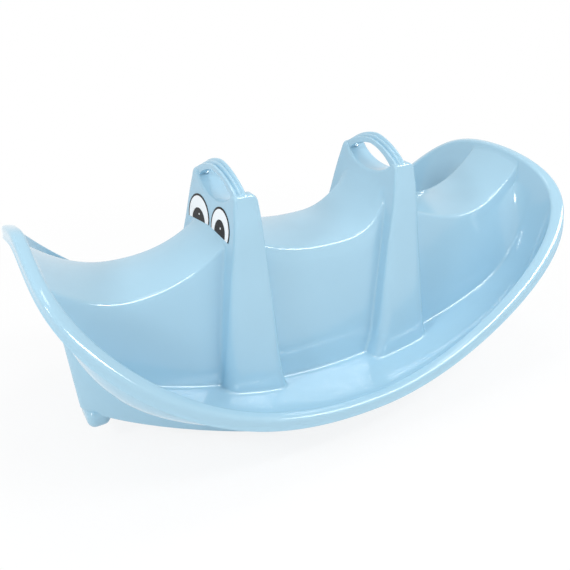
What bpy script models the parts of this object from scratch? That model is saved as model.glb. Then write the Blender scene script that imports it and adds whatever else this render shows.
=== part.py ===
"""Rocking crocodile: a three-seat rocking toy in moulded plastic.

X runs along the length with the nose at -X, Y across, Z up from the floor.
All sizes are in metres.
"""
import math

import bmesh
import bpy
import numpy as np

# Overall plan of the rim, measured from its lowest point
RIM_LOW_X = 0.015
NOSE_REACH = 0.515
TAIL_REACH = 0.485
HALF_WIDTH = 0.2605
NOSE_POWER = 4.75
TAIL_POWER = 5.3

# Height of the rim crest above the floor
RIM_LOW_Z = 0.104
NOSE_RISE = 0.2444
NOSE_CROWN = 0.0826
NOSE_CROWN_ROUND = 0.10
TAIL_RISE = 0.287
TAIL_RISE_END = -0.052
TAIL_CROWN = 0.069

# Rolled rim
RIM_WIDTH = 0.022
RIM_DROP = 0.022
RIM_INNER_DROP = 0.006

# Footboard and scooped ends
FOOT_LOW_Z = 0.089
FOOT_CURVE = 0.58
SCOOP_POWER = 18.0
WALL = 0.004

# Ridge that carries the three saddles
EDGE_NOSE = 0.100
EDGE_NOSE_LOW = 0.083
EDGE_POST = 0.069
EDGE_MIDDLE = 0.083
EDGE_TAIL = 0.067
RIDGE_ROOT_HALF = 0.118
RIDGE_FILLET_HALF = 0.133
RIDGE_EDGE_DROP = 0.022
NOSE_LOW_X = -0.335
NOSE_LOW_Z = 0.315
NOSE_END_Z = 0.389
MID_LOW_X = 0.020
MID_LOW_Z = 0.331
TAIL_LOW_X = 0.340
TAIL_LOW_Z = 0.319
TAIL_END_Z = 0.398

# Handle posts
POST_MIDDLE = -0.0057
POST_SPACING = 0.3158
SEAT_FRONT_Z = 0.369
SEAT_BACK_Z = 0.362
SEAT_SWEEP_Z = 0.400
SHOULDER_Z = 0.441
SHOULDER_HALF = 0.086
ARCH_FOOT_Z = 0.4475
ARCH_HALF = 0.0825
ARCH_TOP_Z = 0.481
ARCH_SET_BACK = 0.003
ARCH_BACK = 0.020
POST_BASE_HALF = 0.1487
POST_BASE_LENGTH = 0.0966
POST_BACK = 0.042
POST_CORNER = 0.007
HOLE_LOW_Z = 0.418
HOLE_HALF_WIDTH = 0.063
HOLE_HALF_HEIGHT = 0.0225
LIP_LOW_Z = 0.417
LIP_HALF_WIDTH = 0.0735
LIP_HALF_HEIGHT = 0.0405
LIP_DEPTH = 0.0036
CORE_TOP_Z = 0.400

# Rocker base
ROCKER_RADIUS = 1.300
HULL_HALF_LENGTH = 0.438
HULL_HALF_WIDTH = 0.175
HULL_END_HALF = 0.024
HULL_POWER = 1.05
HULL_ROUND = 0.20
HULL_DRAFT_END = 0.012
HULL_DRAFT_SIDE = 0.008
PLATE_DEPTH = 0.018
PLATE_THICKNESS = 0.004
PLATE_EDGE_INSET = 0.0048
PLATE_EDGE_TUCK = 0.003
BASE_WALL = 0.004
HULL_EDGE_LIFT = 0.003

# End stops under both ends of the rocker base
STOP_X = 0.409
STOP_LENGTH = 0.036
STOP_WIDTH = 0.052
STOP_DEPTH = 0.032
STOP_PEG_RADIUS = 0.005
STOP_PEG_LENGTH = 0.010

# Screws that hold the base to the top moulding
SCREW_PLACES = ((0.070, 0.200), (0.300, 0.180))
SCREW_RADIUS = 0.0020
SCREW_LENGTH = 0.0160
SCREW_HEAD_RADIUS = 0.0045
SCREW_HEAD_HEIGHT = 0.0030
BOSS_RADIUS = 0.0060
CLEARANCE = 0.0003

# Eye stickers on the front post
EYE_Y = 0.0415
EYE_Z = 0.384
EYE_HALF_WIDTH = 0.0375
EYE_HALF_HEIGHT = 0.0310
EYE_BOTTOM = 0.371
EYE_THICKNESS = 0.0004

# Mesh resolution
STATIONS = 41
END_CROWDING = 0.35
POST_LOOP = 24
HULL_LOOP = 64

BODY_BLUE = (0.40, 0.62, 0.76, 1.0)
STICKER_WHITE = (0.86, 0.87, 0.88, 1.0)
STEEL = (0.42, 0.43, 0.45, 1.0)

INNER_WIDTH = HALF_WIDTH - RIM_WIDTH
NOSE_END = RIM_LOW_X - NOSE_REACH + RIM_WIDTH
TAIL_END = RIM_LOW_X + TAIL_REACH - RIM_WIDTH
POSTS = (POST_MIDDLE - POST_SPACING / 2.0, POST_MIDDLE + POST_SPACING / 2.0)


def clear_scene():
    for item in list(bpy.data.objects):
        bpy.data.objects.remove(item, do_unlink=True)


def material(name, colour, rough, metal=0.0):
    mat = bpy.data.materials.new(name)
    mat.use_nodes = True
    shader = mat.node_tree.nodes["Principled BSDF"]
    shader.inputs["Base Color"].default_value = colour
    shader.inputs["Roughness"].default_value = rough
    shader.inputs["Metallic"].default_value = metal
    mat.diffuse_color = colour
    return mat


def make_object(name, verts, faces, mat=None, smooth_angle=35.0):
    mesh = bpy.data.meshes.new(name)
    mesh.from_pydata([tuple(map(float, v)) for v in verts], [], [tuple(f) for f in faces])
    mesh.validate()
    work = bmesh.new()
    work.from_mesh(mesh)
    bmesh.ops.recalc_face_normals(work, faces=work.faces)
    work.to_mesh(mesh)
    work.free()
    item = bpy.data.objects.new(name, mesh)
    bpy.context.collection.objects.link(item)
    if mat is not None:
        mesh.materials.append(mat)
        mesh.shade_smooth()
        mesh.set_sharp_from_angle(angle=math.radians(smooth_angle))
    return item


def reach(u, inset):
    """Distance along X from the low point of the rim to its outline."""
    return np.where(u < 0.0, NOSE_REACH, TAIL_REACH) - inset


def rim_height(un, yn):
    """Crest height of the rim, from plan coordinates scaled to the outline."""
    snout = 1.0 + NOSE_CROWN_ROUND - np.sqrt(yn ** 2 + NOSE_CROWN_ROUND ** 2)
    nose = (NOSE_RISE + NOSE_CROWN * snout) * un ** 2
    tail = TAIL_RISE * un ** 2 + TAIL_RISE_END * un ** 4 + TAIL_CROWN * un ** 2 * (1.0 - yn ** 2)
    return RIM_LOW_Z + np.where(un < 0.0, nose, tail)


def plan_radius(un, yn):
    """Distance from the middle of the plan, 1 on the outline."""
    power = np.where(un < 0.0, NOSE_POWER, TAIL_POWER)
    return (np.abs(un) ** power + np.abs(yn) ** power) ** (1.0 / power)


def scoop_height(x, y, inset, rim_drop):
    """Footboard surface that curls up to the rim at the outline."""
    u = x - RIM_LOW_X
    un = u / reach(u, inset)
    yn = y / (HALF_WIDTH - inset)
    radius = plan_radius(un, yn)
    safe = np.maximum(radius, 0.2)
    edge = rim_height(un / safe, yn / safe) - rim_drop
    foot = FOOT_LOW_Z + FOOT_CURVE * u ** 2
    return foot + (edge - foot) * np.minimum(radius, 1.0) ** SCOOP_POWER


def saddle(x, low, front, back):
    """Curve with its lowest point at low = (x, z) and rising by powers to both ends."""
    low_x, low_z = low
    front_x, front_z, front_power = front
    back_x, back_z, back_power = back
    ahead = np.clip((low_x - x) / (low_x - front_x), 0.0, 1.0)
    behind = np.clip((x - low_x) / (back_x - low_x), 0.0, 1.0)
    rise = (front_z - low_z) * ahead ** front_power + (back_z - low_z) * behind ** back_power
    return low_z + rise


def ridge_height(x):
    """Centre line height of the ridge with its three saddles."""
    nose = saddle(x, (NOSE_LOW_X, NOSE_LOW_Z), (NOSE_END, NOSE_END_Z, 1.9),
                  (POSTS[0] - 0.012, SEAT_FRONT_Z, 2.3))
    middle = saddle(x, (MID_LOW_X, MID_LOW_Z), (POSTS[0] + POST_BACK, SEAT_BACK_Z, 2.1),
                    (POSTS[1] - 0.004, SEAT_SWEEP_Z, 3.4))
    tail = saddle(x, (TAIL_LOW_X, TAIL_LOW_Z), (POSTS[1] + POST_BACK, SEAT_BACK_Z, 2.0),
                  (TAIL_END, TAIL_END_Z, 2.25))
    height = np.where(x < POSTS[0], nose, middle)
    return np.where(x > POSTS[1] + 0.010, tail, height)


def ridge_edge(x):
    """Half width of the ridge top along its length."""
    places = (NOSE_END, NOSE_LOW_X, POSTS[0] - 0.05, POSTS[0], POSTS[0] + 0.05,
              POSTS[1] - 0.04, POSTS[1], POSTS[1] + 0.05, TAIL_LOW_X, TAIL_END)
    halves = (EDGE_NOSE, EDGE_NOSE_LOW, EDGE_POST, EDGE_POST, EDGE_MIDDLE,
              EDGE_MIDDLE, EDGE_POST, EDGE_POST, 0.5 * (EDGE_POST + EDGE_NOSE_LOW), EDGE_TAIL)
    return np.interp(x, places, halves)


def line_reach(end_y):
    """Reach of a line along X towards the nose and the tail."""
    power = np.array([NOSE_POWER, TAIL_POWER])
    share = (1.0 - (end_y / INNER_WIDTH) ** power) ** (1.0 / power)
    return share * np.array([NOSE_REACH - RIM_WIDTH, TAIL_REACH - RIM_WIDTH])


def top_grid():
    """Points of the upper skin on a grid of stations by lines across."""
    s = np.linspace(-1.0, 1.0, STATIONS)
    spread = s * (1.0 + END_CROWDING * (1.0 - s ** 2))
    power = np.where(s < 0.0, NOSE_POWER, TAIL_POWER)
    corner = 0.5 ** (1.0 / power)
    side_y = INNER_WIDTH * (1.0 - np.abs(corner * spread) ** power) ** (1.0 / power)
    top_share = (0.0, 0.37, 0.68, 0.84, 0.93, 1.0)
    top_drop = (0.0, 0.10, 0.34, 0.47, 0.66, 1.0)
    wall_share = (0.40, 0.85, 1.0)
    wall_keep = (0.55, 0.10, 0.030)
    foot_share = (0.0, 0.30, 0.58, 0.80, 0.93, 1.0)
    walls = len(top_share) + len(wall_share)
    grid = np.zeros((STATIONS, walls + len(foot_share), 3))
    for j in range(grid.shape[1]):
        if j < len(top_share):
            end_y = np.full(2, EDGE_MIDDLE * top_share[j])
        elif j < walls:
            end_y = np.full(2, RIDGE_ROOT_HALF)
        else:
            share = foot_share[j - walls]
            end_y = RIDGE_FILLET_HALF + (corner[[0, -1]] * INNER_WIDTH - RIDGE_FILLET_HALF) * share
        ends = line_reach(end_y)
        x = RIM_LOW_X + np.where(spread < 0.0, ends[0], ends[1]) * spread
        edge = ridge_edge(x)
        if j < len(top_share):
            y = edge * top_share[j]
        elif j < walls:
            y = edge + (RIDGE_ROOT_HALF - edge) * wall_share[j - len(top_share)]
        else:
            y = RIDGE_FILLET_HALF + (side_y - RIDGE_FILLET_HALF) * share
        ends = line_reach(y[[0, -1]])
        x[0] = RIM_LOW_X - ends[0]
        x[-1] = RIM_LOW_X + ends[1]
        base = scoop_height(x, y, RIM_WIDTH, RIM_INNER_DROP)
        top = ridge_height(x)
        edge_z = np.maximum(top - RIDGE_EDGE_DROP, base)
        if j < len(top_share):
            z = np.maximum(top - RIDGE_EDGE_DROP * top_drop[j], base)
        elif j < walls:
            z = base + (edge_z - base) * wall_keep[j - len(top_share)]
        else:
            z = base
        grid[:, j] = np.stack([x, y, z], axis=1)
    mirror = grid[:, :0:-1, :] * np.array([1.0, -1.0, 1.0])
    return np.concatenate([mirror, grid], axis=1)


def border_indices(rows, columns):
    loop = [(i, 0) for i in range(rows)]
    loop += [(rows - 1, j) for j in range(1, columns)]
    loop += [(i, columns - 1) for i in range(rows - 2, -1, -1)]
    loop += [(0, j) for j in range(columns - 2, 0, -1)]
    return loop


def skin():
    """Upper skin with the rolled rim: points, faces and the open edge loop."""
    grid = top_grid()
    rows, columns = grid.shape[:2]
    verts = grid.reshape(-1, 3).tolist()
    faces = []
    for i in range(rows - 1):
        for j in range(columns - 1):
            a = i * columns + j
            faces.append((a, a + columns, a + columns + 1, a + 1))
    loop = border_indices(rows, columns)
    last = [i * columns + j for i, j in loop]
    steps = ((0.003, 0.0035), (0.008, 0.0060), (0.014, 0.0055), (0.019, 0.0015),
             (0.022, -0.0050), (0.022, RIM_INNER_DROP - RIM_DROP))
    for out, up in steps:
        ring = []
        for i, j in loop:
            x, y, z = grid[i, j]
            u = x - RIM_LOW_X
            grow = 1.0 + out / float(reach(u, RIM_WIDTH))
            verts.append([RIM_LOW_X + u * grow, y * (1.0 + out / INNER_WIDTH), z + up])
            ring.append(len(verts) - 1)
        for index in range(len(loop)):
            after = (index + 1) % len(loop)
            faces.append((last[index], ring[index], ring[after], last[after]))
        last = ring
    return np.array(verts), faces, last


def point_normals(verts, faces):
    normals = np.zeros_like(verts)
    for face in faces:
        a, b, c, d = (verts[k] for k in face)
        cross = np.cross(c - a, d - b)
        for k in face:
            normals[k] += cross
    return normals / np.linalg.norm(normals, axis=1)[:, None]


def shell_from_skin():
    verts, faces, edge = skin()
    normals = point_normals(verts, faces)
    if normals[:, 2].mean() < 0.0:
        normals = -normals
    count = len(verts)
    points = np.vstack([verts, verts - normals * WALL])
    for k in edge:
        points[k + count][2] = verts[k][2]
    under = [tuple(k + count for k in reversed(f)) for f in faces]
    sides = []
    for index, k in enumerate(edge):
        after = edge[(index + 1) % len(edge)]
        sides.append((k, k + count, after + count, after))
    shell = make_object("top_shell", points, faces + under + sides)
    middle = verts - normals * WALL * 0.5
    return shell, middle, faces, edge


def block_below(points, faces, edge, floor_z):
    """Solid that fills everything below a skin down to a level floor."""
    count = len(points)
    low = points.copy()
    low[:, 2] = floor_z
    under = [tuple(k + count for k in reversed(f)) for f in faces]
    sides = []
    for index, k in enumerate(edge):
        after = edge[(index + 1) % len(edge)]
        sides.append((k, k + count, after + count, after))
    return make_object("below", np.vstack([points, low]), faces + under + sides)


def post_section(z):
    """Front, back and half width of a post at a height, from its centre."""
    heights = (0.090, 0.112, 0.170, 0.230, 0.320, 0.357, 0.394, 0.415, SHOULDER_Z)
    base = POST_BASE_LENGTH / 2.0
    front = np.interp(z, heights, (base, base, 0.0415, 0.0325, 0.0195, 0.0138, 0.0086, 0.00565, 0.002))
    back = np.interp(z, heights, (base, base, 0.0455, 0.0440, 0.0432, POST_BACK, POST_BACK - 0.0012,
                                  POST_BACK - 0.0032, POST_BACK - 0.009))
    half = np.interp(z, heights, (POST_BASE_HALF + 0.002, POST_BASE_HALF, 0.138, 0.127, 0.1095,
                                  0.1045, 0.0995, 0.0945, SHOULDER_HALF))
    return front, back, half


def loop_points(front, back, half, corner, z, centre):
    """Rounded rectangle seen from above, POST_LOOP points round."""
    corner = min(corner, 0.45 * (front + back), 0.9 * half)
    points = []
    per = POST_LOOP // 4
    middles = ((back - corner, half - corner, 0.0), (-front + corner, half - corner, 90.0),
               (-front + corner, -half + corner, 180.0), (back - corner, -half + corner, 270.0))
    for mx, my, start in middles:
        for step in range(per):
            angle = math.radians(start + 90.0 * step / (per - 1))
            points.append((centre + mx + corner * math.cos(angle),
                           my + corner * math.sin(angle), z))
    return points


def stack(name, loops):
    verts = [p for loop in loops for p in loop]
    size = len(loops[0])
    faces = [tuple(range(size))[::-1]]
    for level in range(len(loops) - 1):
        for k in range(size):
            after = (k + 1) % size
            a = level * size
            faces.append((a + k, a + after, a + size + after, a + size + k))
    top = (len(loops) - 1) * size
    faces.append(tuple(top + k for k in range(size)))
    return make_object(name, verts, faces)


def arch_half(z):
    """Half width of the handle arch at a height above its feet."""
    rise = ARCH_TOP_Z - ARCH_FOOT_Z
    radius = (ARCH_HALF ** 2 + rise ** 2) / (2.0 * rise)
    drop = ARCH_TOP_Z - z
    return math.sqrt(max(2.0 * radius * drop - drop ** 2, 0.0))


def post_outer(centre):
    loops = []
    for z in (0.060, 0.112, 0.170, 0.230, 0.275, 0.320, 0.357, 0.394, 0.415, 0.430, 0.437):
        front, back, half = post_section(z)
        loops.append(loop_points(front, back, half, POST_CORNER, z, centre))
    front, back, half = post_section(SHOULDER_Z)
    loops.append(loop_points(front - 0.002, back - 0.003, half - 0.003, POST_CORNER, SHOULDER_Z, centre))
    for share in (0.0, 0.20, 0.41, 0.60, 0.75, 0.86, 0.94, 0.985):
        z = ARCH_FOOT_Z + (ARCH_TOP_Z - ARCH_FOOT_Z) * share
        half = arch_half(z)
        trim = 0.0 if share < 0.8 else 0.0015
        loops.append(loop_points(-ARCH_SET_BACK - trim, ARCH_BACK - trim, half, 0.005, z, centre))
    return stack("post", loops)


def post_core(centre):
    loops = []
    for z in (-0.02, 0.112, 0.170, 0.230, 0.275, 0.320, 0.357, CORE_TOP_Z):
        front, back, half = post_section(z)
        loops.append(loop_points(front - WALL, back - WALL, half - WALL, 0.004, z, centre))
    return stack("core", loops)


def cylinder(name, centre, radius, low, high, sides=16, mat=None, along="Z", squash=1.0):
    loops = []
    for level in (low, high):
        ring = []
        for k in range(sides):
            angle = 2.0 * math.pi * k / sides
            a = radius * math.cos(angle)
            b = radius * squash * math.sin(angle)
            if along == "Z":
                ring.append((centre[0] + a, centre[1] + b, level))
            else:
                ring.append((level, centre[1] + a, centre[2] + b))
        loops.append(ring)
    item = stack(name, loops)
    if mat is not None:
        item.data.materials.append(mat)
    return item


def combine(target, cutter, operation):
    step = target.modifiers.new("step", "BOOLEAN")
    step.operation = operation
    step.solver = "EXACT"
    step.object = cutter
    bpy.context.view_layer.update()
    graph = bpy.context.evaluated_depsgraph_get()
    mesh = bpy.data.meshes.new_from_object(target.evaluated_get(graph))
    target.modifiers.clear()
    old = target.data
    target.data = mesh
    bpy.data.meshes.remove(old)
    bpy.data.objects.remove(cutter, do_unlink=True)


def join(items):
    mesh = bmesh.new()
    for item in items:
        mesh.from_mesh(item.data)
    result = bpy.data.meshes.new("joined")
    mesh.to_mesh(result)
    mesh.free()
    for item in items:
        bpy.data.objects.remove(item, do_unlink=True)
    target = bpy.data.objects.new("joined", result)
    bpy.context.collection.objects.link(target)
    return target


def screw_points():
    return [(sx * x, sy * y) for x, y in SCREW_PLACES for sx in (-1, 1) for sy in (-1, 1)]


def plate_top(x, y):
    """Plate under the footboard; its edge turns up inside the lip of the rim."""
    edge_drop = RIM_DROP - PLATE_DEPTH - PLATE_EDGE_TUCK
    return scoop_height(x, y, PLATE_EDGE_INSET, edge_drop) - PLATE_DEPTH


def surface_height(item, x, y, from_z, direction):
    """First height at which a vertical line meets an object."""
    hit, place, _, _ = item.ray_cast((x, y, from_z), (0.0, 0.0, direction))
    return place[2] if hit else None


def around(x, y, radius):
    points = [(x, y)]
    for k in range(12):
        angle = math.pi * k / 6.0
        points.append((x + radius * math.cos(angle), y + radius * math.sin(angle)))
    return points


def body_shell(base, mat):
    shell, middle, faces, edge = shell_from_skin()
    below = block_below(middle, faces, edge, -0.05)
    posts = join([post_outer(centre) for centre in POSTS])
    combine(posts, below, "DIFFERENCE")
    combine(shell, posts, "UNION")
    combine(shell, join([post_core(centre) for centre in POSTS]), "DIFFERENCE")
    holes = []
    for centre in POSTS:
        for low_z, half_width, half_height, depth in (
                (HOLE_LOW_Z, HOLE_HALF_WIDTH, HOLE_HALF_HEIGHT, 0.080),
                (LIP_LOW_Z, LIP_HALF_WIDTH, LIP_HALF_HEIGHT, LIP_DEPTH)):
            middle_z = low_z + half_height
            holes.append(cylinder("hole", (0.0, 0.0, middle_z), half_width, centre - 0.08,
                                  centre + depth, 36, None, "X", half_height / half_width))
    for hole in holes:
        combine(shell, hole, "DIFFERENCE")
    bosses = []
    bores = []
    for x, y in screw_points():
        ring = around(x, y, BOSS_RADIUS)[1:]
        low = max(surface_height(base, a, b, 0.6, -1.0) for a, b in ring) + CLEARANCE
        high = min(surface_height(shell, a, b, 0.6, -1.0) for a, b in ring) - WALL * 0.5
        bosses.append(cylinder("boss", (x, y), BOSS_RADIUS, low, high, 14))
        bores.append(cylinder("bore", (x, y), SCREW_RADIUS + CLEARANCE, low - 0.01, high - 0.0015, 10))
    combine(shell, join(bosses), "UNION")
    combine(shell, join(bores), "DIFFERENCE")
    shell.name = "body_shell"
    shell.data.name = "body_shell"
    finish(shell, mat)
    return shell


def finish(item, mat, angle=32.0):
    mesh = item.data
    work = bmesh.new()
    work.from_mesh(mesh)
    bmesh.ops.remove_doubles(work, verts=work.verts, dist=0.00002)
    bmesh.ops.dissolve_degenerate(work, edges=work.edges, dist=0.00002)
    bmesh.ops.recalc_face_normals(work, faces=work.faces)
    work.to_mesh(mesh)
    work.free()
    mesh.materials.clear()
    mesh.materials.append(mat)
    mesh.shade_smooth()
    mesh.set_sharp_from_angle(angle=math.radians(angle))


def hull_plan(theta, length, width):
    """Boat shaped outline of the rocker, rounded at both ends."""
    x = -length * np.cos(theta)
    share = np.minimum(np.abs(x / length), 1.0)
    eased = (np.sqrt(share ** 2 + HULL_ROUND ** 2) - HULL_ROUND) / (math.hypot(1.0, HULL_ROUND) - HULL_ROUND)
    boat = (1.0 - np.minimum(eased, 1.0) ** HULL_POWER) ** (1.0 / HULL_POWER)
    bluff = (1.0 - share ** 8) ** 0.5
    half = (width - HULL_END_HALF) * boat + HULL_END_HALF * bluff
    return x, np.where(np.abs(np.sin(theta)) > 1e-9, half * np.sign(np.sin(theta)), 0.0)


def plate_plan(theta, inset):
    """Outline of the plate that closes the underside of the footboards."""
    cu = -np.cos(theta)
    cy = np.where(np.abs(np.sin(theta)) > 1e-9, np.sin(theta), 0.0)
    radius = plan_radius(cu, cy)
    return RIM_LOW_X + reach(cu, inset) * cu / radius, (HALF_WIDTH - inset) * cy / radius


def rocker_z(x):
    return ROCKER_RADIUS - np.sqrt(ROCKER_RADIUS ** 2 - x ** 2)


def base_rings(offset):
    """Loops of the base skin from the keel outwards; offset lifts to the inner face."""
    theta = np.linspace(0.0, 2.0 * math.pi, HULL_LOOP, endpoint=False)
    loops = []
    inner = offset
    for share in (0.30, 0.65, 0.90):
        x, y = hull_plan(theta, HULL_HALF_LENGTH - inner, HULL_HALF_WIDTH - inner)
        x = x * (0.90 + 0.1 * share)
        y = y * share
        loops.append((x, y, rocker_z(x) + offset))
    x, y = hull_plan(theta, HULL_HALF_LENGTH - inner, HULL_HALF_WIDTH - inner)
    loops.append((x * 0.995, y * 0.985, rocker_z(x) + 0.0004 + offset))
    loops.append((x, y, rocker_z(x) + HULL_EDGE_LIFT + offset))
    grow_x = 1.0 + HULL_DRAFT_END / HULL_HALF_LENGTH
    grow_y = 1.0 + HULL_DRAFT_SIDE / HULL_HALF_WIDTH
    top_x = x * grow_x
    top_y = y * grow_y
    lip = plate_top(top_x, top_y) - PLATE_THICKNESS + offset
    low = rocker_z(x) + HULL_EDGE_LIFT + offset
    for share in (0.35, 0.70, 0.97):
        loops.append((x + (top_x - x) * share, y + (top_y - y) * share, low + (lip - low) * share))
    edge_x, edge_y = plate_plan(theta, PLATE_EDGE_INSET)
    for share in (0.03, 0.20, 0.42, 0.62, 0.78, 0.89, 0.96, 1.0):
        px = top_x + (edge_x - top_x) * share
        py = top_y + (edge_y - top_y) * share
        loops.append((px, py, plate_top(px, py) - PLATE_THICKNESS + offset))
    return [np.stack(loop, axis=1) for loop in loops]


def ring_skin(loops):
    size = len(loops[0])
    verts = [p for loop in loops for p in loop]
    faces = []
    half = size // 2
    for k in range(half):
        a = k
        b = k + 1
        c = (size - k - 1) % size
        d = (size - k) % size
        quad = []
        for v in (a, b, c, d):
            if v not in quad:
                quad.append(v)
        if len(quad) > 2:
            faces.append(tuple(quad))
    for level in range(len(loops) - 1):
        for k in range(size):
            after = (k + 1) % size
            a = level * size
            faces.append((a + k, a + size + k, a + size + after, a + after))
    return verts, faces, [(len(loops) - 1) * size + k for k in range(size)]


def rocker_base(mat):
    outer, faces, edge = ring_skin(base_rings(0.0))
    inner, _, _ = ring_skin(base_rings(BASE_WALL))
    count = len(outer)
    under = [tuple(k + count for k in reversed(f)) for f in faces]
    sides = []
    for index, k in enumerate(edge):
        after = edge[(index + 1) % len(edge)]
        sides.append((k, k + count, after + count, after))
    base = make_object("rocker_base", outer + inner, faces + under + sides)
    holes = []
    for x, y in screw_points():
        seat = float(plate_top(x, y))
        holes.append(cylinder("hole", (x, y), SCREW_RADIUS + CLEARANCE, seat - 0.03, seat + 0.02, 10))
    for side in (-1, 1):
        holes.append(cylinder("hole", (side * STOP_X, 0.0), STOP_PEG_RADIUS + CLEARANCE,
                              0.02, float(rocker_z(STOP_X)) + 0.03, 16))
    combine(base, join(holes), "DIFFERENCE")
    finish(base, mat)
    return base


def screw(name, x, y, base, mat):
    ring = around(x, y, SCREW_HEAD_RADIUS)[1:]
    seat = min(surface_height(base, a, b, -0.1, 1.0) for a, b in ring) - CLEARANCE
    loops = []
    profile = ((SCREW_HEAD_RADIUS * 0.72, -SCREW_HEAD_HEIGHT), (SCREW_HEAD_RADIUS, -SCREW_HEAD_HEIGHT * 0.55),
               (SCREW_HEAD_RADIUS, 0.0), (SCREW_RADIUS, 0.0), (SCREW_RADIUS, SCREW_LENGTH - 0.002),
               (SCREW_RADIUS * 0.4, SCREW_LENGTH))
    for radius, z in profile:
        loops.append([(x + radius * math.cos(math.pi * k / 6.0), y + radius * math.sin(math.pi * k / 6.0),
                       seat + z) for k in range(12)])
    item = stack(name, loops)
    item.name = name
    finish(item, mat)
    return item


def end_stop(name, side, mat):
    """Rounded stop with a peg that plugs into the rocker floor."""
    top = float(rocker_z(STOP_X - STOP_LENGTH * 0.5)) - CLEARANCE
    loops = []
    profile = ((0.55, -STOP_DEPTH), (0.80, -STOP_DEPTH + 0.003), (0.95, -STOP_DEPTH + 0.010), (1.0, 0.0))
    sides = 20
    for grow, z in profile:
        loop = []
        for k in range(sides):
            angle = 2.0 * math.pi * k / sides
            cx = math.copysign(abs(math.cos(angle)) ** 0.6, math.cos(angle)) * STOP_LENGTH * 0.5 * grow
            cy = math.copysign(abs(math.sin(angle)) ** 0.6, math.sin(angle)) * STOP_WIDTH * 0.5 * grow
            x = side * STOP_X + cx
            level = float(rocker_z(x)) - CLEARANCE if z == 0.0 else top + z
            loop.append((x, cy, level))
        loops.append(loop)
    for radius, z in ((STOP_PEG_RADIUS, 0.0), (STOP_PEG_RADIUS, STOP_PEG_LENGTH)):
        loop = []
        for k in range(sides):
            angle = 2.0 * math.pi * k / sides
            x = side * STOP_X + radius * math.cos(angle)
            base_z = float(rocker_z(x)) - CLEARANCE if z == 0.0 else top + 0.004 + z
            loop.append((x, radius * math.sin(angle), base_z))
        loops.append(loop)
    item = stack(name, loops)
    finish(item, mat)
    return item


def eye_sticker(name, side, mat):
    """Thin oval sticker on the sloping front face of the front post, cut off level below."""
    start = math.asin((EYE_BOTTOM - EYE_Z) / EYE_HALF_HEIGHT)
    outline = []
    for k in range(33):
        angle = start + (math.pi - 2.0 * start) * k / 32.0
        outline.append((EYE_HALF_WIDTH * math.cos(angle), EYE_HALF_HEIGHT * math.sin(angle)))
    loops = []
    for lift in (CLEARANCE, CLEARANCE + EYE_THICKNESS):
        loop = []
        for a, b in outline:
            z = EYE_Z + b
            front = float(post_section(z)[0])
            loop.append((POSTS[0] - front - lift, side * EYE_Y + a, z))
        loops.append(loop)
    item = stack(name, loops)
    finish(item, mat)
    return item


def build():
    clear_scene()
    blue = material("blue_plastic", BODY_BLUE, 0.25)
    base_blue = material("base_plastic", BODY_BLUE, 0.25)
    white = material("sticker", STICKER_WHITE, 0.35)
    steel = material("steel", STEEL, 0.35, 1.0)
    stop = material("stop_plastic", BODY_BLUE, 0.35)
    base = rocker_base(base_blue)
    body_shell(base, blue)
    end_stop("front_end_stop", -1, stop)
    end_stop("rear_end_stop", 1, stop)
    eye_sticker("left_eye_sticker", -1, white)
    eye_sticker("right_eye_sticker", 1, white)
    for index, (x, y) in enumerate(screw_points()):
        screw("base_screw_%d" % (index + 1), x, y, base, steel)


build()
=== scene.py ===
"""Looks of the rocking crocodile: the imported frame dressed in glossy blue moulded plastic."""
import math

import bmesh
import bpy
import numpy as np
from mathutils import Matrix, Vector

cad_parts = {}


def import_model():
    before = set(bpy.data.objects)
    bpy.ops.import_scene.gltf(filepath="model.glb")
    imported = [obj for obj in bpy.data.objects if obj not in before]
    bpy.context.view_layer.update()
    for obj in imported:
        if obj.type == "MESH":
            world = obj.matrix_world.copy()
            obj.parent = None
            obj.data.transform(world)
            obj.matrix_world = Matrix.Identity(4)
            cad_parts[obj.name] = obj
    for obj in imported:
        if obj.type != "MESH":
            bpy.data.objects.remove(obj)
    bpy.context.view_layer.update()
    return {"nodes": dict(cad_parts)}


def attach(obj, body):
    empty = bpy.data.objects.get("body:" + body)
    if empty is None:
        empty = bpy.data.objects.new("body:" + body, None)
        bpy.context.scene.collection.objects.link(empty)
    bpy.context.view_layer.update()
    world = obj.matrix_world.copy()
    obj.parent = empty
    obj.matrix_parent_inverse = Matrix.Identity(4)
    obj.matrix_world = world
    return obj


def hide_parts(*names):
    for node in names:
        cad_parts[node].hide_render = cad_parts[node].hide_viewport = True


QUARTER_TURN = math.pi / 2.0

# Plan and height of the rim, in metres
RIM_LOW_X = 0.015
NOSE_REACH = 0.5125
TAIL_REACH = 0.485
HALF_WIDTH = 0.2605
NOSE_POWER = 4.75
TAIL_POWER = 5.3
RIM_LOW_Z = 0.104
NOSE_RISE = 0.2444
NOSE_CURVE = 2.25
NOSE_CROWN = 0.0750
NOSE_CROWN_ROUND = 0.10
TAIL_RISE = 0.287
TAIL_RISE_END = -0.052
TAIL_CROWN = 0.069
RIM_WIDTH = 0.022
RIM_DROP = 0.022
RIM_INNER_DROP = 0.006
INNER_WIDTH = HALF_WIDTH - RIM_WIDTH
NOSE_END = RIM_LOW_X - NOSE_REACH + RIM_WIDTH
TAIL_END = RIM_LOW_X + TAIL_REACH - RIM_WIDTH

# Footboard and scooped ends
FOOT_LOW_Z = 0.089
FOOT_CURVE = 0.58
SCOOP_POWER = 18.0
LEAST_RADIUS = 0.2

# Handle posts: middles, top, roundings along their edges, creases and sweeps at their feet
POSTS = (-0.1636, 0.1522)
SHOULDER_Z = 0.4465
SHOULDER_ROUND = 0.005
BACK_ROUND = 0.012
POST_CORNER = 0.011
POST_CORNER_LOW = 0.020
EYE_CREASE = 0.002
SEAT_CREASE = 0.006
LEAST_CREASE = 0.001
FRONT_SWEEP = 0.030
BACK_SWEEP = 0.014
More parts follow.
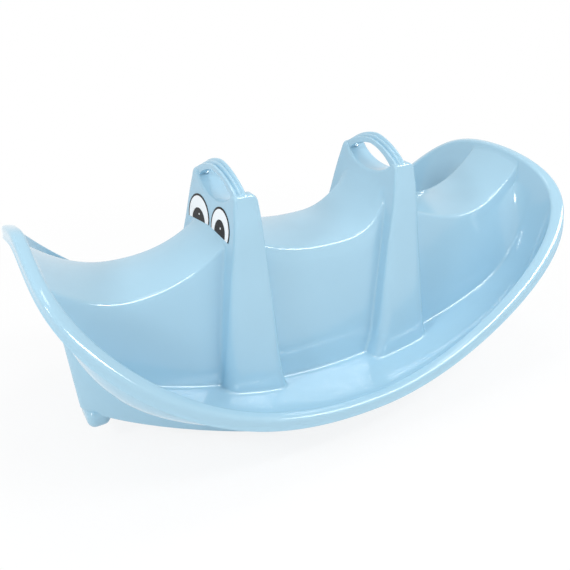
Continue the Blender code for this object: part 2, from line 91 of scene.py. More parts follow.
# Largest shares of a face's height for the round at its foot and the one at its outer edge
FOOT_ROUND_SHARE = 0.28
OUTER_ROUND_SHARE = 0.66
# Reach of a post from its middle to the front, the back and the side, at these heights
POST_HEIGHTS = (0.090, 0.108, 0.116, 0.128, 0.170, 0.230, 0.320, 0.357, 0.394, 0.415, SHOULDER_Z)
POST_FRONT = (0.0680, 0.0625, 0.0575, 0.0535, 0.0465, 0.0370,
              0.0215, 0.0138, 0.0086, 0.00565, 0.0015)
POST_BACK = (0.0640, 0.0610, 0.0595, 0.0580, 0.0545, 0.0510,
             0.0455, 0.0432, 0.0412, 0.0406, 0.0380)
POST_HALF = (0.1530, 0.1510, 0.1490, 0.1460, 0.1380, 0.1270,
             0.1095, 0.1045, 0.0995, 0.0945, 0.0855)

# Saddles: lowest point, then both ends of the seat as place, height and power of the rise
SEAT_FRONT_Z = 0.3672
SEAT_BACK_Z = 0.362
SEAT_BACK_X = 0.042
SEAT_SWEEP_Z = 0.400
NOSE_END_Z = 0.380
TAIL_END_Z = 0.398
NOSE_LOW = (-0.335, 0.315)
MIDDLE_LOW = (0.020, 0.331)
TAIL_LOW = (0.340, 0.319)
NOSE_SADDLE = (NOSE_LOW, (NOSE_END, NOSE_END_Z, 2.0), (POSTS[0] - 0.012, SEAT_FRONT_Z, 2.3))
MIDDLE_SADDLE = (MIDDLE_LOW, (POSTS[0] + SEAT_BACK_X, SEAT_BACK_Z, 2.1),
                 (POSTS[1] - 0.004, SEAT_SWEEP_Z, 3.4))
TAIL_SADDLE = (TAIL_LOW, (POSTS[1] + SEAT_BACK_X, SEAT_BACK_Z, 2.0), (TAIL_END, TAIL_END_Z, 2.25))
TAIL_SADDLE_FROM = POSTS[1] + 0.010

# Half widths of the ridge at its edge, from the nose to the tail, and where they hold
EDGE_NOSE = 0.104
EDGE_NOSE_LOW = 0.088
EDGE_POST = 0.073
EDGE_MIDDLE = 0.088
EDGE_TAIL = 0.071
EDGE_PLACES = (NOSE_END, NOSE_LOW[0], POSTS[0] - 0.05, POSTS[0], POSTS[0] + 0.05,
               POSTS[1] - 0.04, POSTS[1], POSTS[1] + 0.05, TAIL_LOW[0], TAIL_END)
EDGE_HALVES = (EDGE_NOSE, EDGE_NOSE_LOW, EDGE_POST, EDGE_POST, EDGE_MIDDLE,
               EDGE_MIDDLE, EDGE_POST, EDGE_POST, 0.5 * (EDGE_POST + EDGE_NOSE_LOW), EDGE_TAIL)
EDGE_SOFTEN = 0.02

# Section of the ridge: crown, knee of its edge as (share of the half width, drop), and root
CROWN_SHARE = 0.86
CROWN_DROP = 0.0080
EDGE_KNEE = (0.918, 0.0102)
EDGE_DROP = 0.0340
RIDGE_ROOT_HALF = 0.118
ROOT_FILLET = 0.006
ROOT_FILLET_SHARE = 0.45
# Widths over which the ridge melts into the scooped nose and tail, and how near the rim,
# as a share of the way out to it, that fades away
NOSE_BLEND = 0.030
TAIL_BLEND = 0.008
BLEND_FADE = 0.03

# Kinds of lines along the body, from its middle outwards, and how many lines each has
CROWN, EDGE, WALL, ROOT = range(4)
CROWN_LINES = 14
EDGE_LINES = 12
WALL_LINES = 12
ROOT_LINES = 7
# Lines on the footboard outside them, and the share of their spacing that is even
FOOT_LINES = 24
FOOT_EVEN = 0.35

# Rows across the plain ridge, and how far they crowd together at the ends of a stretch
NOSE_ROWS = 60
MIDDLE_ROWS = 36
TAIL_ROWS = 56
END_CROWDING = 0.6
MIDDLE_CROWDING = 0.45
# Rows over a post's top, and around the foot, up the middle and over the edge of a face
SIDE_ROWS = 12
INNER_ARC = 6
FACE_STEPS = 6
OUTER_ARC = 5
# Stretch of the rim that the rows of a post's face fan out to
FACE_RIM_SPAN = 0.055

# First guesses at a height and a half width on a post, and how often places that hang on
# each other are worked out again
FACE_GUESS_Z = 0.30
SIDE_GUESS_Y = 0.14
FOOT_PASSES = 4
FACE_PASSES = 6


def settle_view():
    bpy.ops.object.select_all(action="DESELECT")


def reach(u, inset):
    """Reach of the outline towards the nose (u below 0) or the tail, less an inset."""
    return np.where(u < 0.0, NOSE_REACH, TAIL_REACH) - inset


def rim_height(un, yn):
    """Height of the rim at a place given as shares of its length and half width."""
    snout = 1.0 + NOSE_CROWN_ROUND - np.sqrt(yn ** 2 + NOSE_CROWN_ROUND ** 2)
    nose = (NOSE_RISE + NOSE_CROWN * snout) * np.abs(un) ** NOSE_CURVE
    tail = TAIL_RISE * un ** 2 + TAIL_RISE_END * un ** 4 + TAIL_CROWN * un ** 2 * (1.0 - yn ** 2)
    return RIM_LOW_Z + np.where(un < 0.0, nose, tail)


def plan_radius(un, yn):
    """Share of the way from the middle of the plan out to its outline."""
    power = np.where(un < 0.0, NOSE_POWER, TAIL_POWER)
    return (np.abs(un) ** power + np.abs(yn) ** power) ** (1.0 / power)


def scoop(x, y, inset=RIM_WIDTH, drop=RIM_INNER_DROP):
    """Height of the footboard, which curls up to the rim at the outline, and its plan radius."""
    u = x - RIM_LOW_X
    un = u / reach(u, inset)
    yn = y / (HALF_WIDTH - inset)
    radius = plan_radius(un, yn)
    safe = np.maximum(radius, LEAST_RADIUS)
    edge = rim_height(un / safe, yn / safe) - drop
    foot = FOOT_LOW_Z + FOOT_CURVE * u ** 2
    return foot + (edge - foot) * np.minimum(radius, 1.0) ** SCOOP_POWER, radius


def saddle(x, low, front, back):
    """Height of a seat that rises from its lowest point towards the nose and the tail."""
    ahead = np.clip((low[0] - x) / (low[0] - front[0]), 0.0, 1.0)
    behind = np.clip((x - low[0]) / (back[0] - low[0]), 0.0, 1.0)
    return low[1] + (front[1] - low[1]) * ahead ** front[2] + (back[1] - low[1]) * behind ** back[2]


def ridge_height(x):
    """Height of the ridge along its middle, over the three saddles."""
    height = np.where(x < POSTS[0], saddle(x, *NOSE_SADDLE), saddle(x, *MIDDLE_SADDLE))
    return np.where(x > TAIL_SADDLE_FROM, saddle(x, *TAIL_SADDLE), height)


def ridge_edge(x):
    """Half width of the ridge at its edge, with the bends of its plan softened."""
    shift = np.linspace(-EDGE_SOFTEN, EDGE_SOFTEN, 5)
    return np.mean([np.interp(x + s, EDGE_PLACES, EDGE_HALVES) for s in shift], axis=0)


def blend_max(a, b, width):
    """The higher of two heights, with a soft hollow of the given width where they meet."""
    near = np.maximum(width - np.abs(a - b), 0.0) / np.maximum(width, 1e-6)
    return np.maximum(a, b) + near ** 2 * width / 4.0


def bend(t, start, knee, end):
    """Curve from start to end that leans towards the knee."""
    return (1 - t) ** 3 * start + 3 * t * (1 - t) * knee + t ** 3 * end


def line_table():
    """Kind of each line along the body, and its place from 0 to 1 within that kind."""
    kinds = []
    places = []
    for kind, count in enumerate((CROWN_LINES, EDGE_LINES, WALL_LINES, ROOT_LINES)):
        steps = np.linspace(0.0, 1.0, count + 1)
        if kind < ROOT:
            steps = steps[:-1]
        kinds.extend([kind] * len(steps))
        places.extend(steps)
    return np.array(kinds), np.array(places)


KIND, PLACE = line_table()
# How far the root's fillet runs out on the footboard
OUT = np.where(KIND == ROOT, ROOT_FILLET * PLACE ** 2, 0.0)


def ridge_points(x):
    """Points of the ridge, one for each line, at the places x along the body."""
    top = ridge_height(x)
    edge = ridge_edge(x)
    t = PLACE
    knee_y, knee_drop = EDGE_KNEE
    y = np.where(KIND == CROWN, t * CROWN_SHARE * edge, edge * bend(t, CROWN_SHARE, knee_y, 1.0))
    drop = np.where(KIND == CROWN, CROWN_DROP * t ** 2, bend(t, CROWN_DROP, knee_drop, EDGE_DROP))
    wall_y = edge + (RIDGE_ROOT_HALF - edge) * np.where(KIND == WALL, t, 1.0) + OUT
    y = np.where(KIND >= WALL, wall_y, y)
    for _ in range(FOOT_PASSES):
        foot, radius = scoop(x, y)
        fade = np.clip((1.0 - radius) / BLEND_FADE, 0.0, 1.0)
        width = np.where(x < 0.0, NOSE_BLEND, TAIL_BLEND) * fade
        tall = np.maximum(blend_max(top - EDGE_DROP, foot, width) - foot, 1e-5)
        fillet = np.minimum(ROOT_FILLET, ROOT_FILLET_SHARE * tall)
        above = np.where(KIND == WALL, fillet + (tall - fillet) * (1.0 - t),
                         fillet * (1.0 - t) ** 2)
        share = above / tall
        wall_y = edge + (RIDGE_ROOT_HALF - edge) * (1.0 - share) + OUT
        y = np.where(KIND >= WALL, wall_y, y)
    z = np.where(KIND >= WALL, foot + above, blend_max(top - drop, foot, width))
    return y, z


def post_points(x):
    """Points of a post's outer skin, one for each line, at the places x along the body."""
    t = PLACE
    low_z = SHOULDER_Z - SHOULDER_ROUND
    turn_y = np.interp(low_z, POST_HEIGHTS, POST_HALF) - SHOULDER_ROUND
    angle = t * QUARTER_TURN
    y = np.where(KIND == CROWN, t * turn_y, turn_y + SHOULDER_ROUND * np.sin(angle))
    z = np.where(KIND == CROWN, SHOULDER_Z, low_z + SHOULDER_ROUND * np.cos(angle))
    side_y = np.full_like(t, SIDE_GUESS_Y)
    for _ in range(FOOT_PASSES):
        foot, _ = scoop(x, side_y)
        base = foot + ROOT_FILLET
        side_z = np.where(KIND == WALL, base + (low_z - base) * (1.0 - t),
                          foot + ROOT_FILLET * (1.0 - t) ** 2)
        side_y = np.interp(side_z, POST_HEIGHTS, POST_HALF) + OUT
    return np.where(KIND >= WALL, side_y, y), np.where(KIND >= WALL, side_z, z)


def face_place(post, side, z):
    """Where a post's front (side -1) or back (side 1) face stands at the heights z."""
    table = POST_FRONT if side < 0 else POST_BACK
    return post + side * (np.interp(z, POST_HEIGHTS, table) + OUT)


def face_steps(side, crease, sweep, rise):
    """Section of a post's face for every line, as steps out from the face and up along it."""
    turn = np.where(KIND == EDGE, PLACE, 1.0)
    inner = np.where(KIND == CROWN, crease + (sweep - crease) * (1.0 - PLACE ** 2),
                     crease + (SEAT_CREASE - crease) * turn)
    inner = np.minimum(np.maximum(inner - OUT, LEAST_CREASE), FOOT_ROUND_SHARE * rise)
    top_round = SHOULDER_ROUND if side < 0 else BACK_ROUND
    low = np.where(KIND == WALL, PLACE, np.where(KIND == ROOT, 1.0, 0.0))
    corner = POST_CORNER + (POST_CORNER_LOW - POST_CORNER) * low
    outer = np.where(KIND == CROWN, top_round, top_round + (corner - top_round) * turn)
    outer = np.minimum(outer + OUT, OUTER_ROUND_SHARE * rise)
    steps = []
    for angle in np.linspace(0.0, QUARTER_TURN, INNER_ARC + 1):
        steps.append((-inner * (1.0 - math.sin(angle)), inner * (1.0 - math.cos(angle))))
    for share in np.linspace(0.0, 1.0, FACE_STEPS + 1)[1:-1]:
        steps.append((np.zeros_like(inner), inner + (rise - inner - outer) * share))
    for angle in np.linspace(0.0, QUARTER_TURN, OUTER_ARC + 1):
        steps.append((outer * (1.0 - math.cos(angle)), rise - outer + outer * math.sin(angle)))
    return steps


def face_rows(post, side, crease, sweep):
    """Rows that run from the ridge up a face of the post and over its outer edge."""
    x = face_place(post, side, np.full_like(PLACE, FACE_GUESS_Z))
    for _ in range(FACE_PASSES):
        ridge_y, ridge_z = ridge_points(x)
        post_y, post_z = post_points(x)
        x = face_place(post, side, 0.5 * (ridge_z + post_z))
    rise = np.hypot(post_y - ridge_y, post_z - ridge_z)
    rows = []
    for along, up in face_steps(side, crease, sweep, rise):
        share = up / rise
        for _ in range(FACE_PASSES):
            ridge_y, ridge_z = ridge_points(x)
            post_y, post_z = post_points(x)
            y = ridge_y + (post_y - ridge_y) * share
            z = ridge_z + (post_z - ridge_z) * share
            x = face_place(post, side, z) - side * along
        rows.append(np.stack([x, y, z], axis=1))
    return rows if side < 0 else rows[::-1]


def border_y(x):
    """Half width of the inner edge of the rim."""
    u = x - RIM_LOW_X
    power = np.where(u < 0.0, NOSE_POWER, TAIL_POWER)
    return INNER_WIDTH * (1.0 - np.abs(u / reach(u, RIM_WIDTH)) ** power) ** (1.0 / power)


def end_reach(end_y, side):
    """How far the inner edge of the rim reaches at the nose (side -1) or tail (side 1)."""
    power = NOSE_POWER if side < 0 else TAIL_POWER
    length = (NOSE_REACH if side < 0 else TAIL_REACH) - RIM_WIDTH
    return side * length * (1.0 - (end_y / INNER_WIDTH) ** power) ** (1.0 / power)


def eased(count, crowding):
    """Steps from 0 to 1 that lie closer together at both ends."""
    t = np.linspace(0.0, 1.0, count + 1)
    return t - crowding * np.sin(2.0 * math.pi * t) / (2.0 * math.pi)


def foot_shares():
    """Shares of the way across the footboard, closer together towards the rim."""
    t = np.linspace(0.0, 1.0, FOOT_LINES + 1)[1:]
    return FOOT_EVEN * t + (1.0 - FOOT_EVEN) * (1.0 - (1.0 - t) ** 2)


def end_line(side):
    """The last row, on the inner edge of the rim at the nose (side -1) or tail (side 1)."""
    end_x = NOSE_END if side < 0 else TAIL_END
    x = np.full_like(PLACE, end_x)
    for _ in range(FACE_PASSES):
        y, _ = ridge_points(x)
        x = RIM_LOW_X + end_reach(np.abs(y), side)
    power = NOSE_POWER if side < 0 else TAIL_POWER
    corner = 0.5 ** (1.0 / power)
    foot_y = y[-1] + (corner * INNER_WIDTH - y[-1]) * foot_shares()
    foot_x = RIM_LOW_X + end_reach(foot_y, side)
    return np.concatenate([x, foot_x]), np.concatenate([y, foot_y])


def with_foot(row, rim_x):
    """Adds the footboard's points to a row that ends at the root of the ridge or post."""
    rim_y = float(border_y(rim_x))
    shares = foot_shares()
    x = row[-1, 0] + (rim_x - row[-1, 0]) * shares
    y = row[-1, 1] + (rim_y - row[-1, 1]) * shares
    return np.concatenate([row, np.stack([x, y, scoop(x, y)[0]], axis=1)])


def run_rows(first_x, last_x, steps, rim_from, rim_to):
    """Rows of the plain ridge between two places given for every line."""
    rows = []
    lines = len(PLACE)
    for f in steps:
        x = first_x + (last_x - first_x) * f
        y, z = ridge_points(x[:lines])
        rim_x = rim_from + (rim_to - rim_from) * f
        rim_y = float(border_y(rim_x))
        foot_y = y[-1] + (rim_y - y[-1]) * foot_shares()
        foot_z = scoop(x[lines:], foot_y)[0]
        rows.append(np.stack([x, np.concatenate([y, foot_y]), np.concatenate([z, foot_z])], axis=1))
    return rows


def post_rows(post, crease, sweep):
    """Rows up a post's front, over its top and down its back, and their places on the rim."""
    front = face_rows(post, -1, crease, sweep)
    back = face_rows(post, 1, SEAT_CREASE, BACK_SWEEP)
    foot_reach = POST_FRONT[1] + ROOT_FILLET
    rim_front = np.linspace(post - foot_reach - FACE_RIM_SPAN, post - foot_reach, len(front))
    rim_back = np.linspace(post + foot_reach, post + foot_reach + FACE_RIM_SPAN, len(back))
    front = [with_foot(row, x) for row, x in zip(front, rim_front)]
    back = [with_foot(row, x) for row, x in zip(back, rim_back)]
    ahead = front[-1]
    behind = back[0]
    lines = len(PLACE)
    over = []
    for f in np.linspace(0.0, 1.0, SIDE_ROWS + 1)[1:-1]:
        x = ahead[:, 0] + (behind[:, 0] - ahead[:, 0]) * f
        y, z = post_points(x[:lines])
        row = np.stack([x[:lines], y, z], axis=1)
        over.append(with_foot(row, rim_front[-1] + (rim_back[0] - rim_front[-1]) * f))
    return front + over + back, rim_front[0], rim_back[-1]


def body_rows():
    """Points of the top moulding inside its rim, in rows from the nose to the tail."""
    nose_steps = eased(NOSE_ROWS, END_CROWDING)[:-1]
    middle_steps = eased(MIDDLE_ROWS, MIDDLE_CROWDING)[1:-1]
    tail_steps = eased(TAIL_ROWS, END_CROWDING)[1:]
    rows = []
    from_x = end_line(-1)[0]
    rim_from = float(from_x[-1])
    for post, crease, sweep, steps in ((POSTS[0], EYE_CREASE, EYE_CREASE, nose_steps),
                                       (POSTS[1], SEAT_CREASE, FRONT_SWEEP, middle_steps)):
        over_post, rim_front, rim_back = post_rows(post, crease, sweep)
        rows += run_rows(from_x, over_post[0][:, 0], steps, rim_from, rim_front)
        rows += over_post
        from_x = over_post[-1][:, 0]
        rim_from = rim_back
    to_x = end_line(1)[0]
    rows += run_rows(from_x, to_x, tail_steps, rim_from, float(to_x[-1]))
    half = np.array(rows)
    for row, side in ((half[0], -1), (half[-1], 1)):
        end_x, end_y = end_line(side)
        row[:, 0] = end_x
        row[:, 1] = end_y
        row[:, 2] = scoop(end_x, end_y)[0]
    mirror = half[:, :0:-1, :] * np.array([1.0, -1.0, 1.0])
    return np.concatenate([mirror, half], axis=1)


# Section of the rolled rim: outwards and upwards from its inner edge
RIM_SECTION = ((0.0003, 0.0014), (0.0010, 0.0028), (0.0022, 0.0041), (0.0038, 0.0049),
               (0.0060, 0.0053), (0.0090, 0.0055), (0.0120, 0.0055), (0.0150, 0.0052),
               (0.0172, 0.0045), (0.0188, 0.0033), (0.0199, 0.0015), (0.0204, -0.0008),
               (0.0206, -0.0040), (0.0206, -0.0085), (0.0208, -0.0112), (0.0214, -0.0130),
               (0.0220, -0.0142), (0.0222, -0.0150), (0.0219, -0.0157), (0.0212, -0.0160),
               (0.0194, -0.0160), (0.0185, -0.0156), (0.0181, -0.0148), (0.0180, -0.0060),
               (0.0172, -0.0020), (0.0140, 0.0004), (0.0100, 0.0006), (0.0060, -0.0014),
               (0.0030, -0.0060))
# The lip hangs lower from the middle of the toy to its nose
LIP_EXTRA = 0.002
LIP_FADE = (-0.20, 0.10)
LIP_FADE_POWER = 1.5
LIP_FROM = -0.0085
LIP_HEIGHT = 0.0065
# Underside of the footboards: shares of the way in from the rim, and its depth
UNDER_SHARES = (0.012, 0.03, 0.06, 0.10, 0.18, 0.30, 0.45, 0.62, 0.80, 0.95)
UNDER_DEPTH = 0.007


def border_loop(rows, columns):
    """Rows and columns of the points around the edge of a grid, in turn."""
    loop = [(i, 0) for i in range(rows)]
    loop += [(rows - 1, j) for j in range(1, columns)]
    loop += [(i, columns - 1) for i in range(rows - 2, -1, -1)]
    loop += [(0, j) for j in range(columns - 2, 0, -1)]
    return loop


def rim_rings(start):
    """Rings of points from the rim's inner edge over it, around its lip and in underneath."""
    u = start[:, 0] - RIM_LOW_X
    fade = np.clip((LIP_FADE[1] - start[:, 0]) / (LIP_FADE[1] - LIP_FADE[0]), 0.0, 1.0)
    low_lip = LIP_EXTRA * fade ** LIP_FADE_POWER
    rings = []
    for out, up in RIM_SECTION:
        up = up - low_lip * max((LIP_FROM - up) / LIP_HEIGHT, 0.0)
        x = RIM_LOW_X + u * (1.0 + out / reach(u, RIM_WIDTH))
        y = start[:, 1] * (1.0 + out / INNER_WIDTH)
        rings.append(np.stack([x, y, start[:, 2] + up], axis=1))
    for share in UNDER_SHARES:
        x = RIM_LOW_X + u * (1.0 - share)
        y = start[:, 1] * (1.0 - share)
        rings.append(np.stack([x, y, scoop(x, y)[0] - UNDER_DEPTH], axis=1))
    return rings


def body_sheet():
    """The top moulding as one closed skin: a grid shaped over the ridge, extruded into the rim."""
    grid = body_rows()
    rows, columns = grid.shape[:2]
    settle_view()
    bpy.ops.mesh.primitive_grid_add(x_subdivisions=columns - 1, y_subdivisions=rows - 1, size=1.0)
    body = bpy.context.object
    body.name = "crocodile_body"
    body.data.vertices.foreach_set("co", grid.reshape(-1))
    skin = bmesh.new()
    skin.from_mesh(body.data)
    skin.verts.ensure_lookup_table()
    ring = [skin.verts[i * columns + j] for i, j in border_loop(rows, columns)]
    for places in rim_rings(np.array([v.co for v in ring])):
        fresh = [skin.verts.new(p) for p in places]
        for k in range(len(ring)):
            after = (k + 1) % len(ring)
            skin.faces.new((ring[k], fresh[k], fresh[after], ring[after]))
        ring = fresh
    skin.faces.new(ring)
    bmesh.ops.recalc_face_normals(skin, faces=skin.faces)
    skin.to_mesh(body.data)
    skin.free()
    return body


def join_rings(shape, near, far):
    """Faces between two rings of as many corners each."""
    faces = []
    for k in range(len(near)):
        after = (k + 1) % len(near)
        faces.append(shape.faces.new((near[k], near[after], far[after], far[k])))
    return faces


def place_shape(name, shape):
    """Turns the faces of a closed shape outwards and puts it in the scene."""
    bmesh.ops.recalc_face_normals(shape, faces=shape.faces)
    mesh = bpy.data.meshes.new(name)
    shape.to_mesh(mesh)
    shape.free()
    item = bpy.data.objects.new(name, mesh)
    bpy.context.scene.collection.objects.link(item)
    return item


def loft(name, loops):
    """A closed skin through loops of points, each loop joined to the next."""
    shape = bmesh.new()
    rings = [[shape.verts.new(p) for p in loop] for loop in loops]
    for near, far in zip(rings[:-1], rings[1:]):
        join_rings(shape, near, far)
    shape.faces.new(rings[0][::-1])
    shape.faces.new(rings[-1])
    return place_shape(name, shape)


# Handle arch: outer and inner curves, and its section from front to back
ARCH_LOW_Z = 0.420
ARCH_OUTER_HALF = 0.0993
ARCH_OUTER_TOP = 0.473
ARCH_INNER_HALF = 0.0749
ARCH_INNER_TOP = 0.4636
ARCH_SQUARENESS = 1.64
ARCH_POWER = 2.0 / ARCH_SQUARENESS
ARCH_FRONT = 0.0009
ARCH_BACK = 0.0200
ARCH_FOOT_Z = 0.428
ARCH_SUNK = 0.0006
ARCH_STEPS = 72
# Outer side of the arch: place behind the post's middle and height over the front edge
GRIP = ((0.0009, -0.0014), (0.0012, -0.0005), (0.0020, 0.0), (0.0048, 0.0001), (0.0057, -0.0004),
        (0.0060, -0.0014), (0.0063, -0.0023), (0.0069, -0.0027), (0.0077, -0.0026),
        (0.0082, -0.0016), (0.0085, 0.0006), (0.0090, 0.0026), (0.0099, 0.0038), (0.0110, 0.0042),
        (0.0122, 0.0040), (0.0130, 0.0033), (0.0135, 0.0026), (0.0140, 0.0028), (0.0146, 0.0044),
        (0.0155, 0.0064), (0.0167, 0.0074), (0.0180, 0.0075), (0.0190, 0.0067), (0.0197, 0.0052),
        (0.0200, 0.0032))
# Share of the ribs' height that they also stand out at the arch's sides
GRIP_SIDE_SHARE = 0.3
# Inner side of the arch, from back to front: place, and share of the way to the outer side
ARCH_INSIDE = ((ARCH_BACK, 0.55), (ARCH_BACK, 0.14), (ARCH_BACK - 0.0004, 0.05),
               (ARCH_BACK - 0.0015, 0.0), (0.5 * (ARCH_BACK + ARCH_FRONT), 0.0),
               (ARCH_FRONT + 0.0015, 0.0), (ARCH_FRONT + 0.0004, 0.05), (ARCH_FRONT, 0.14),
               (ARCH_FRONT, 0.55))

# Hand hole through the top of a post, and the rounding of its edges
HOLE_HALF = 0.0735
HOLE_MIDDLE_Z = 0.4585
HOLE_LOW_Z = 0.4175
HOLE_EDGE_ROUND = 0.0042
HOLE_TOP_ROUND = 0.0016
# The cutter stands past both faces of the post and over its top
HOLE_PAST = 0.05
HOLE_CUT_Z = 0.52
HOLE_STEPS = 48
HOLE_ROUND_STEPS = 6


def arch_point(a, half, top):
    """Point (y, z) of the arch's curve with this half width and top, at the angle a."""
    y = half * np.sign(np.cos(a)) * np.abs(np.cos(a)) ** ARCH_POWER
    z = ARCH_LOW_Z + (top - ARCH_LOW_Z) * np.sin(a) ** ARCH_POWER
    return y, z


def handle_arch(post):
    """Arch over the hand hole: a front flange and two grip ribs, both feet sunk in the post."""
    foot_share = (ARCH_FOOT_Z - ARCH_LOW_Z) / (ARCH_OUTER_TOP - ARCH_LOW_Z)
    low = math.asin(foot_share ** (1.0 / ARCH_POWER))
    loops = []
    for a in np.linspace(low, math.pi - low, ARCH_STEPS + 1):
        in_y, in_z = arch_point(a, ARCH_INNER_HALF, ARCH_INNER_TOP)
        ring = []
        for x, up in GRIP:
            y, z = arch_point(a, ARCH_OUTER_HALF + GRIP_SIDE_SHARE * up, ARCH_OUTER_TOP + up)
            side = np.interp(z, POST_HEIGHTS, POST_HALF) - ARCH_SUNK
            if z < SHOULDER_Z:
                y = math.copysign(min(abs(y), side), y)
            ring.append((post + x, y, z))
        out_y, out_z = ring[-1][1:]
        for x, share in ARCH_INSIDE:
            ring.append((post + x, in_y + (out_y - in_y) * share, in_z + (out_z - in_z) * share))
        loops.append(ring)
    return loft("arch", loops)


def hole_outline(wide):
    """Outline of the hand hole as (y, z), widened all round, with flares at the post's top."""
    tall = HOLE_MIDDLE_Z - HOLE_LOW_Z
    turn = math.asin((HOLE_MIDDLE_Z - SHOULDER_Z + HOLE_TOP_ROUND) / tall)
    angles = np.linspace(turn, math.pi - turn, HOLE_STEPS + 1)
    y = HOLE_HALF * np.cos(angles)
    z = HOLE_MIDDLE_Z - tall * np.sin(angles)
    out_y = np.cos(angles) / HOLE_HALF
    out_z = -np.sin(angles) / tall
    length = np.hypot(out_y, out_z)
    out_y, out_z = out_y / length, out_z / length
    outline = list(zip(y + out_y * wide, z + out_z * wide))
    left, right = outline[-1], outline[0]
    flare = []
    for angle in np.linspace(0.25, 1.0, 4) * QUARTER_TURN:
        flare.append((HOLE_TOP_ROUND * (1.0 - math.cos(angle)), HOLE_TOP_ROUND * math.sin(angle)))
    outline += [(left[0] - a, left[1] + b) for a, b in flare]
    outline += [(left[0] - flare[-1][0], HOLE_CUT_Z), (right[0] + flare[-1][0], HOLE_CUT_Z)]
    outline += [(right[0] + a, right[1] + b) for a, b in flare[::-1]]
    return outline


def hole_cutter(post):
    """Trough that cuts the hand hole through a post's top, flared where it meets both faces."""
    edge = [(-HOLE_PAST, HOLE_EDGE_ROUND)]
    for angle in np.linspace(0.0, QUARTER_TURN, HOLE_ROUND_STEPS + 1):
        edge.append((HOLE_EDGE_ROUND * (1.0 - math.cos(angle)),
                     HOLE_EDGE_ROUND * (1.0 - math.sin(angle))))
    plan = [(-1, inwards, wide) for inwards, wide in edge]
    plan += [(1, inwards, wide) for inwards, wide in edge[::-1]]
    loops = []
    for side, inwards, wide in plan:
        table = POST_FRONT if side < 0 else POST_BACK
        loop = []
        for y, z in hole_outline(wide):
            face = post + side * float(np.interp(min(z, SHOULDER_Z), POST_HEIGHTS, table))
            loop.append((face - side * inwards, y, z))
        loops.append(loop)
    return loft("hole", loops)


def combine(piece, tool, operation):
    """Joins a tool to a piece or cuts the piece with it, as an applied Boolean."""
    step = piece.modifiers.new(operation.lower(), "BOOLEAN")
    step.operation = operation
    step.solver = "EXACT"
    step.object = tool
    settle_view()
    piece.select_set(True)
    bpy.context.view_layer.objects.active = piece
    bpy.ops.object.modifier_apply(modifier=step.name)
    piece.select_set(False)
    bpy.data.objects.remove(tool, do_unlink=True)


def crocodile_body():
    """The top moulding with both hand holes cut and their arches joined on."""
    body = body_sheet()
    for post in POSTS:
        combine(body, hole_cutter(post), "DIFFERENCE")
        combine(body, handle_arch(post), "UNION")
    return body


# Eye stickers on the front post's face: middle, half sizes and ends of the lower edge
# as (y, z), then the middle and half sizes of the pupil, and the middle of the glint
EYE_NODES = (("near_eye", "left_eye_sticker"), ("far_eye", "right_eye_sticker"))
EYES = {
    "near_eye": ((-0.0430, 0.3780), (0.0365, 0.0370), ((-0.0140, 0.3685), (-0.0810, 0.3655)),
                 (-0.0430, 0.3700), (0.0210, 0.0240), (-0.0445, 0.3797)),
    "far_eye": ((0.0445, 0.3690), (0.0445, 0.0395), ((0.0000, 0.3690), (0.0840, 0.3570)),
                (0.0430, 0.3600), (0.0275, 0.0245), (0.0430, 0.3742)),
}
EYE_LINE = 0.0036
GLINT_HALF = 0.0019
STICKER_LIFT = 0.0002
STICKER_THICKNESS = 0.0004
PRINT_STEP = 0.00004
# Material slots of the two inks
WHITE_INK, BLACK_INK = range(2)
# Points tried around an oval to find its cut ends, and steps along the outline that is kept
OVAL_TRIED = 1440
OVAL_STEPS = 96
GLINT_STEPS = 24


def on_face(y, z, lift):
    """Point on the front face of the front post, lifted off it."""
    return (POSTS[0] - float(np.interp(z, POST_HEIGHTS, POST_FRONT)) - lift, y, z)


def oval_above(middle, half, cut, steps=OVAL_STEPS):
    """Oval that a straight line cuts off below."""
    (from_y, from_z), (to_y, to_z) = cut
    slope = (to_z - from_z) / (to_y - from_y)
    a = np.linspace(-0.5 * math.pi, 1.5 * math.pi, OVAL_TRIED + 1)
    y = middle[0] + half[0] * np.cos(a)
    z = middle[1] + half[1] * np.sin(a)
    kept = a[z >= from_z + slope * (y - from_y)]
    a = np.linspace(kept[0], kept[-1], steps + 1)
    return list(zip(middle[0] + half[0] * np.cos(a), middle[1] + half[1] * np.sin(a)))


def eye_sticker(name, white, black):
    """Sticker with a black edge, a white field, a black pupil and a glint printed on it."""
    middle, half, cut, pupil, pupil_half, glint = EYES[name]
    inner = (half[0] - EYE_LINE, half[1] - EYE_LINE)
    # The glint is a whole oval: its line lies far below it
    glint_cut = ((-1.0, glint[1] - 1.0), (1.0, glint[1] - 1.0))
    layers = ((oval_above(middle, half, cut), BLACK_INK),
              (oval_above(middle, inner, cut), WHITE_INK),
              (oval_above(pupil, pupil_half, cut), BLACK_INK),
              (oval_above(glint, (GLINT_HALF, GLINT_HALF), glint_cut, GLINT_STEPS), WHITE_INK))
    shape = bmesh.new()
    for level, (outline, ink) in enumerate(layers):
        low = STICKER_LIFT if level == 0 else STICKER_LIFT + 0.5 * STICKER_THICKNESS
        high = STICKER_LIFT + STICKER_THICKNESS + PRINT_STEP * level
        near, far = [[shape.verts.new(on_face(y, z, lift)) for y, z in outline]
                     for lift in (low, high)]
        faces = [shape.faces.new(near[::-1]), shape.faces.new(far)]
        for face in faces + join_rings(shape, near, far):
            face.material_index = ink
    item = place_shape(name, shape)
    item.data.materials.append(white)
    item.data.materials.append(black)
    return item


